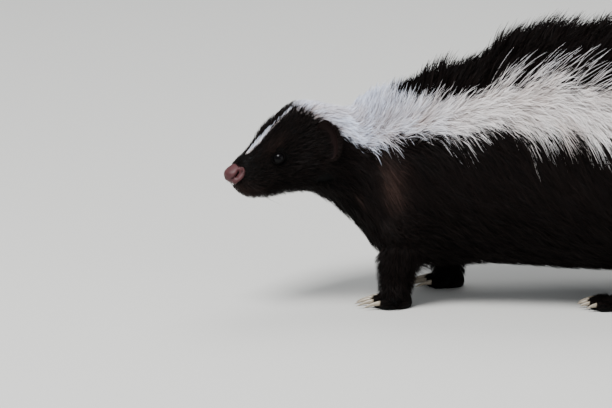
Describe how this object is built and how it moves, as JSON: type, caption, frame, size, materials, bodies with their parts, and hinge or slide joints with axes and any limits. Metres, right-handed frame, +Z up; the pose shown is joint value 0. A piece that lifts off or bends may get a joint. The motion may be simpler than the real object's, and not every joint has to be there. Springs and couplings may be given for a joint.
{
  "type": "striped skunk",
  "caption": "Striped skunk in mid step, head low and turned aside, long coat parted into locks, plumed tail held low, claws on every toe.",
  "frame": {"origin": "on the floor, under the middle of the whole animal's bounding box", "axes": "+Z up, -X the way the trunk faces, -Y towards the animal's left side"},
  "size_m": [0.6184, 0.1328, 0.194],
  "materials": {
    "black_coat": "soft sheen",
    "white_coat": "soft",
    "nose_skin": "moist",
    "ear_skin": "matt",
    "eye": "wet gloss",
    "sole_skin": "matt",
    "claw": "horn"
  },
  "bodies": {
    "root": {"head": "black_coat", "lower_jaw": "black_coat", "neck": "black_coat", "torso": "black_coat", "left_fore_leg": "black_coat", "right_fore_leg": "black_coat", "left_hind_leg": "black_coat", "right_hind_leg": "black_coat", "tail_base": "black_coat", "tail_middle": "black_coat", "tail_tip": "black_coat", "nape_stripe": "white_coat", "left_stripe": "white_coat", "right_stripe": "white_coat", "blaze": "white_coat", "nose": "nose_skin", "left_ear": "ear_skin", "right_ear": "ear_skin", "left_eye": "eye", "right_eye": "eye", "left_fore_paw": "sole_skin", "right_fore_paw": "sole_skin", "left_hind_paw": "sole_skin", "right_hind_paw": "sole_skin", "left_fore_claw_1": "claw", "left_fore_claw_2": "claw", "left_fore_claw_3": "claw", "left_fore_claw_4": "claw", "left_fore_claw_5": "claw", "right_fore_claw_1": "claw", "right_fore_claw_2": "claw", "right_fore_claw_3": "claw", "right_fore_claw_4": "claw", "right_fore_claw_5": "claw", "left_hind_claw_1": "claw", "left_hind_claw_2": "claw", "left_hind_claw_3": "claw", "left_hind_claw_4": "claw", "left_hind_claw_5": "claw", "right_hind_claw_1": "claw", "right_hind_claw_2": "claw", "right_hind_claw_3": "claw", "right_hind_claw_4": "claw", "right_hind_claw_5": "claw"}
  },
  "joints": []
}
